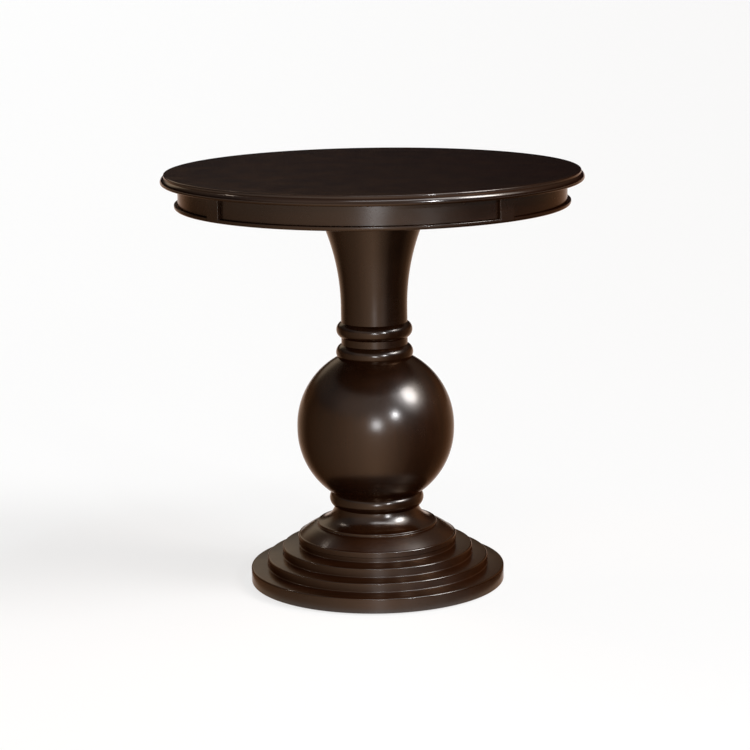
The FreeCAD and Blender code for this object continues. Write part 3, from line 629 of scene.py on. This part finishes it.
def dome_outline():
    bottom, top = span("base_dome")[1:]
    band_radius = DOME_RADIUS - DOME_LIP_ROUND - DOME_LIP_UNDERSIDE
    lip_bottom = bottom + DOME_BAND_HEIGHT
    lip_top = lip_bottom + DOME_LIP_HEIGHT
    slope_foot = (DOME_RADIUS - ARRIS_RADIUS - DOME_LEDGE, lip_top)
    mortise_end = top - DOME_MORTISE_DEPTH
    return section(
        (ROD_BORE, bottom), *foot_cove(band_radius, bottom), (band_radius, lip_bottom),
        (DOME_RADIUS, lip_bottom, DOME_LIP_ROUND), (DOME_RADIUS, lip_top, ARRIS_RADIUS), slope_foot,
        bowed(slope_foot, (COVE_RADIUS + FOOT_COVE, top), DOME_BOW), (SOCKET_RADIUS, top),
        (SOCKET_RADIUS, mortise_end), (ROD_BORE, mortise_end))


def tier_outline(node, above):
    reach, bottom, top = span(node)
    radius = reach - FOOT_COVE
    return section((ROD_BORE, bottom), *foot_cove(radius, bottom), (radius, top - TREAD_FALL, ARRIS_RADIUS),
                   (span(above)[0], top), (ROD_BORE, top))


def plate_outline():
    radius, bottom, top = span("base_plate")
    recess_top = bottom + ROD_RECESS_DEPTH
    return section(
        (ROD_RECESS_RADIUS, bottom), (radius, bottom, PLATE_FOOT_RADIUS),
        (radius, top - TREAD_FALL, ARRIS_RADIUS), (span("lower_tier")[0], top), (ROD_BORE, top),
        (ROD_BORE, recess_top), (ROD_RECESS_RADIUS, recess_top))


def leveller_holes():
    """Stepped holes under the base plate, one for each foot."""
    below = span("base_plate")[1] - HOLE_OVERRUN
    outline = section((0.0, below), (PAD_RECESS[0], below), PAD_RECESS, (FLANGE_RECESS[0], PAD_RECESS[1]),
                      FLANGE_RECESS, (SLEEVE_HOLE[0], FLANGE_RECESS[1]), SLEEVE_HOLE, (0.0, SLEEVE_HOLE[1]))
    return [turned("leveller_hole", outline, LEVELLER_CIRCLE, math.radians(turn)) for turn in LEVELLER_TURNS]


def turn_pieces():
    """Fine mesh for each turned show piece that has tight edges, by the CAD node that it stands for."""
    bead_height = span("upper_bead")[2] - span("upper_bead")[1]
    outlines = {
        "top_edge_ring": edge_ring_outline(),
        "upper_bead": ring_outline("upper_bead", SHAFT_RADIUS, (UPPER_BEAD_RADIUS, bead_height / 2),
                                   SHAFT_RADIUS),
        "lower_bead": ring_outline("lower_bead", BALL_TOP_SEAT, (LOWER_BEAD_RADIUS, LOWER_BEAD_WIDEST),
                                   SHAFT_RADIUS),
        "ball_collar": ring_outline("ball_collar", COLLAR_FOOT_RADIUS, (COLLAR_RADIUS, COLLAR_WIDEST),
                                    BALL_BOTTOM_SEAT),
        "base_cove": cove_outline(), "base_dome": dome_outline(), "base_plate": plate_outline(),
        "upper_tier": tier_outline("upper_tier", "base_dome"),
        "lower_tier": tier_outline("lower_tier", "upper_tier")}
    pieces = {node: turned(node + "_turned", outline) for node, outline in outlines.items()}
    bored(pieces["base_plate"], leveller_holes())
    for number in range(1, 5):
        node = "apron_rail_%d" % number
        pieces[node] = bent_between_stiles(node + "_bent", rail_outline(), math.radians(90 * number - 180))
    for node, piece in pieces.items():
        piece.data.shade_smooth()
        piece.data.set_sharp_from_angle(angle=SHARP_ANGLE)
        even = piece.modifiers.new("even_normals", "WEIGHTED_NORMAL")
        even.keep_sharp = True
        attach(piece, "table")
        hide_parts(node)
    return pieces


# Which material each piece shows

def dress(pieces):
    flat = lacquered_wood("lacquered_wood_top", "x", TOP_ROUGH)
    edge = lacquered_wood("lacquered_wood_edge", "round", TOP_ROUGH)
    lengthways = lacquered_wood("lacquered_wood_discs", "x", DISC_ROUGH, DISC_MARKS, FINE_PEEL)
    upright = lacquered_wood("lacquered_wood_post", "z", POST_ROUGH, LATHE_MARKS)
    ball = lacquered_wood("lacquered_wood_ball", "z", BALL_ROUGH, peel_depth=BALL_PEEL)
    moulding = lacquered_wood("lacquered_wood_moulding", "z", MOULDING_ROUGH, peel_depth=FINE_PEEL)
    bent = lacquered_wood("lacquered_wood_bent", "round", POST_ROUGH, LATHE_MARKS)
    rubbed = lacquered_wood("lacquered_wood_eased_edges", "round", EASED_ROUGH, peel_depth=FINE_PEEL)
    framing = plain_wood("framing_wood", "x")
    framing_bent = plain_wood("framing_wood_bent", "round")
    steel = zinc_steel("zinc_plated_steel")
    plastic = nylon("moulded_nylon")
    by_prefix = {
        "top_panel": flat, "top_edge_ring": edge, "apron_core": framing_bent, "apron_": bent,
        "glue_block_": framing, "mounting_plate": framing, "top_screws": steel, "column_dowels": framing,
        "column": upright, "upper_bead": moulding, "neck_ring": upright, "lower_bead": moulding,
        "ball_dowels": framing, "ball_collar": moulding, "ball_": ball, "base_dowels": framing,
        "base_cove": moulding, "base_": lengthways,
        "upper_tier": lengthways, "lower_tier": lengthways, "tie_rod": steel, "leveller_pad_": plastic,
        "leveller_": steel}
    for name, node in list(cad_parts.items()) + list(pieces.items()):
        prefix = next(p for p in by_prefix if name.startswith(p))
        node.data.materials.clear()
        node.data.materials.append(by_prefix[prefix])
    for piece in pieces.values():
        mesh = piece.data
        mesh.materials.append(rubbed)
        eased = mesh.attributes["eased"]
        mesh.polygons.foreach_set("material_index", [int(face.value) for face in eased.data])
        mesh.attributes.remove(eased)


# Floor, room and lights

def direction(azimuth, elevation):
    """Unit vector from the table; azimuth counts to the right from the camera's side."""
    a = math.radians(azimuth + CAMERA_AZIMUTH)
    e = math.radians(elevation)
    return Vector((math.sin(a) * math.cos(e), -math.cos(a) * math.cos(e), math.sin(e)))


def make_floor():
    mesh = bpy.data.meshes.new("floor")
    r = FLOOR_REACH
    mesh.from_pydata([(-r, -r, 0), (r, -r, 0), (r, r, 0), (-r, r, 0)], [], [(0, 1, 2, 3)])
    mesh.materials.append(floor_material())
    floor = bpy.data.objects.new("floor", mesh)
    bpy.context.scene.collection.objects.link(floor)


def soft_step(tree, value, low, high):
    """0 below low, 1 above high, smooth between them; low may be the larger."""
    node = add_node(tree, "MapRange", interpolation_type="SMOOTHSTEP")
    node.inputs["From Min"].default_value = min(low, high)
    node.inputs["From Max"].default_value = max(low, high)
    node.inputs["To Min"].default_value = float(low > high)
    node.inputs["To Max"].default_value = float(low < high)
    tree.links.new(value, node.inputs["Value"])
    return node.outputs["Result"]


def near_direction(tree, facing, azimuth, elevation, inner, outer):
    """1 within the inner angle of a direction, 0 beyond the outer one."""
    node = add_node(tree, "VectorMath", operation="DOT_PRODUCT")
    tree.links.new(facing, node.inputs[0])
    node.inputs[1].default_value = direction(azimuth, elevation)
    outer_cosine = math.cos(math.radians(outer))
    inner_cosine = math.cos(math.radians(inner))
    return soft_step(tree, node.outputs["Value"], outer_cosine, inner_cosine)


def band(tree, value, rise, fall):
    """1 between a rise and a fall, which both are soft steps."""
    return math_node(tree, "MULTIPLY", soft_step(tree, value, *rise), soft_step(tree, value, *fall))


def make_room():
    """Dim studio with soft glows: ceiling, warm wall in front, low wall behind and two over the table.

    The camera sees a pale backdrop instead.
    """
    world = bpy.data.worlds.new("room")
    world.use_nodes = True
    tree = world.node_tree
    tree.nodes.clear()
    facing = add_node(tree, "TexCoord").outputs["Generated"]
    parts = add_node(tree, "SeparateXYZ")
    tree.links.new(facing, parts.inputs["Vector"])
    height = parts.outputs["Z"]
    rear_band = band(tree, height, REAR_RISE, REAR_FALL)
    rear_spot = near_direction(tree, facing, *REAR_PLACE, *REAR_SPREAD)
    overhead_band = band(tree, height, OVERHEAD_RISE, OVERHEAD_FALL)
    overhead_spot = near_direction(tree, facing, *OVERHEAD_PLACE, *OVERHEAD_SPREAD)
    glows = (
        (CEILING_COLOUR, soft_step(tree, height, *CEILING_RISE)),
        (FRONT_COLOUR, near_direction(tree, facing, *FRONT_PLACE, *FRONT_SPREAD)),
        (REAR_COLOUR, math_node(tree, "MULTIPLY", rear_band, rear_spot)),
        (OVERHEAD_COLOUR, math_node(tree, "MULTIPLY", overhead_band, overhead_spot)),
        (KEY_GLOW, near_direction(tree, facing, *KEY_PLACE, *KEY_SPREAD)))
    total = add_node(tree, "Background")
    total.inputs["Color"].default_value = (*ROOM_COLOUR, 1.0)
    total = total.outputs[0]
    for colour, strength in glows:
        glow = add_node(tree, "Background")
        glow.inputs["Color"].default_value = (*colour, 1.0)
        tree.links.new(strength, glow.inputs["Strength"])
        both = add_node(tree, "AddShader")
        tree.links.new(total, both.inputs[0])
        tree.links.new(glow.outputs[0], both.inputs[1])
        total = both.outputs[0]
    path = add_node(tree, "LightPath").outputs
    seen = math_node(tree, "MAXIMUM", path["Is Camera Ray"], path["Is Transmission Ray"])
    backdrop = add_node(tree, "Background")
    backdrop.inputs["Color"].default_value = (*BACKDROP_COLOUR, 1.0)
    view = add_node(tree, "MixShader")
    tree.links.new(seen, view.inputs["Fac"])
    tree.links.new(total, view.inputs[1])
    tree.links.new(backdrop.outputs[0], view.inputs[2])
    output = add_node(tree, "OutputWorld")
    tree.links.new(view.outputs[0], output.inputs["Surface"])
    bpy.context.scene.world = world


def aim(thing, target, place):
    thing.rotation_mode = "QUATERNION"
    thing.location = place
    thing.rotation_quaternion = (target - place).to_track_quat("-Z", "Y")


def distant_light(name, place, irradiance, width):
    """Soft light from far off, even over the whole floor."""
    light = bpy.data.lights.new(name, "SUN")
    light.energy = irradiance
    light.angle = math.radians(width)
    light.color = LAMP_COLOUR
    thing = bpy.data.objects.new(name, light)
    bpy.context.scene.collection.objects.link(thing)
    aim(thing, LAMP_TARGET, direction(*place) * SUN_DISTANCE)


def softbox(name, place, distance, size, radiance):
    """Area light of a given brightness as seen from the table, round where its sides are equal."""
    width, height = size
    light = bpy.data.lights.new(name, "AREA")
    light.shape = "ELLIPSE" if width == height else "RECTANGLE"
    light.size = width
    light.size_y = height
    area = width * height * (math.pi / 4 if width == height else 1.0)
    light.energy = radiance * math.pi * area
    light.color = LAMP_COLOUR
    thing = bpy.data.objects.new(name, light)
    bpy.context.scene.collection.objects.link(thing)
    aim(thing, LAMP_TARGET, LAMP_TARGET + direction(*place) * distance)
    thing.visible_camera = False
    return thing


def flag_off(lamp, pieces):
    """Keeps a lamp off pieces, as a flag in front of the lamp would."""
    shaded = bpy.data.collections.new("flagged_off")
    for piece in pieces:
        shaded.objects.link(piece)
    for entry in shaded.collection_objects:
        entry.light_linking.link_state = "EXCLUDE"
    lamp.light_linking.receiver_collection = shaded


def make_surround():
    """Glowing sheets in a low ring round the table, which show only in its gloss: painted reflections that
    light nothing.
    """
    count = len(SURROUND)
    vertices = []
    for step in range(SURROUND_STEPS + 1):
        outward = direction(SURROUND_REACH * (2 * step / SURROUND_STEPS - 1), 0.0)
        vertices += [outward * radius + Vector((0, 0, height)) for radius, height in SURROUND]
    faces = []
    for step in range(SURROUND_STEPS):
        here = step * count
        there = here + count
        faces += [(here + n, there + n, there + n + 1, here + n + 1) for n in range(count - 1)]
    material, tree, shader = new_material("glow_seen_in_gloss")
    parts = add_node(tree, "SeparateXYZ")
    tree.links.new(add_node(tree, "TexCoord").outputs["Object"], parts.inputs["Vector"])
    x, y, z = parts.outputs
    turned_by = math_node(tree, "ARCTAN2", x, math_node(tree, "MULTIPLY", y, -1.0))
    degrees = math_node(tree, "MULTIPLY", turned_by, 180.0 / math.pi)
    azimuth = math_node(tree, "SUBTRACT", degrees, CAMERA_AZIMUTH)
    tones = ramp(tree, remap(tree, azimuth, 0.0, 1.0, -180.0, 180.0),
                 *((0.5 + turn / 360.0, (tone, tone, tone)) for turn, tone in REFLECTED_GLOW_TONES))
    # Painted reflection: the sheets glow, and only the table's gloss sees them
    shader.inputs["Emission Color"].default_value = (*REFLECTED_GLOW_COLOUR, 1.0)
    tree.links.new(tones, shader.inputs["Emission Strength"])
    shader.inputs["Base Color"].default_value = (0, 0, 0, 1)
    shader.inputs["Specular IOR Level"].default_value = 0.0
    from_front = math_node(tree, "ABSOLUTE", azimuth)
    ends = soft_step(tree, from_front, SURROUND_REACH, SURROUND_REACH - SURROUND_END_FADE)
    head = soft_step(tree, z, *SURROUND_TOP_FADE)
    tree.links.new(math_node(tree, "MULTIPLY", ends, head), shader.inputs["Alpha"])
    mesh = bpy.data.meshes.new("surround")
    mesh.from_pydata(vertices, [], faces)
    mesh.materials.append(material)
    ring = bpy.data.objects.new("surround", mesh)
    bpy.context.scene.collection.objects.link(ring)
    ring.visible_camera = False
    ring.visible_diffuse = False
    ring.visible_shadow = False


def make_lights(pieces):
    distant_light("key", KEY_PLACE, KEY_IRRADIANCE, KEY_WIDTH)
    distant_light("rear_left", REAR_LEFT_PLACE, REAR_LEFT_IRRADIANCE, REAR_LEFT_WIDTH)
    softbox("front_right", FRONT_RIGHT_PLACE, FRONT_RIGHT_DISTANCE, FRONT_RIGHT_SIZE, FRONT_RIGHT_RADIANCE)
    front = softbox("front", FRONT_LAMP_PLACE, FRONT_LAMP_DISTANCE, FRONT_LAMP_SIZE, FRONT_LAMP_RADIANCE)
    flag_off(front, (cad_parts["top_panel"], pieces["top_edge_ring"]))


def make_camera():
    data = bpy.data.cameras.new("camera")
    data.lens = CAMERA_LENS
    data.sensor_width = SENSOR_WIDTH
    data.clip_end = CAMERA_CLIP
    thing = bpy.data.objects.new("camera", data)
    bpy.context.scene.collection.objects.link(thing)
    pitch = math.radians(CAMERA_PITCH)
    roll = math.radians(CAMERA_ROLL)
    outward = direction(0.0, 0.0)
    level_right = Vector((-outward.y, outward.x, 0))
    forward = -outward * math.cos(pitch) - Vector((0, 0, math.sin(pitch)))
    level_up = level_right.cross(forward)
    right = level_right * math.cos(roll) + level_up * math.sin(roll)
    up = level_up * math.cos(roll) - level_right * math.sin(roll)
    turn = Matrix((right, up, -forward)).transposed()
    place = outward * CAMERA_DISTANCE + Vector((0, 0, CAMERA_HEIGHT))
    thing.matrix_world = Matrix.Translation(place) @ turn.to_4x4()
    bpy.context.scene.camera = thing


pieces = turn_pieces()
dress(pieces)
make_floor()
make_room()
make_surround()
make_lights(pieces)
make_camera()
bpy.context.scene.view_settings.view_transform = "Standard"
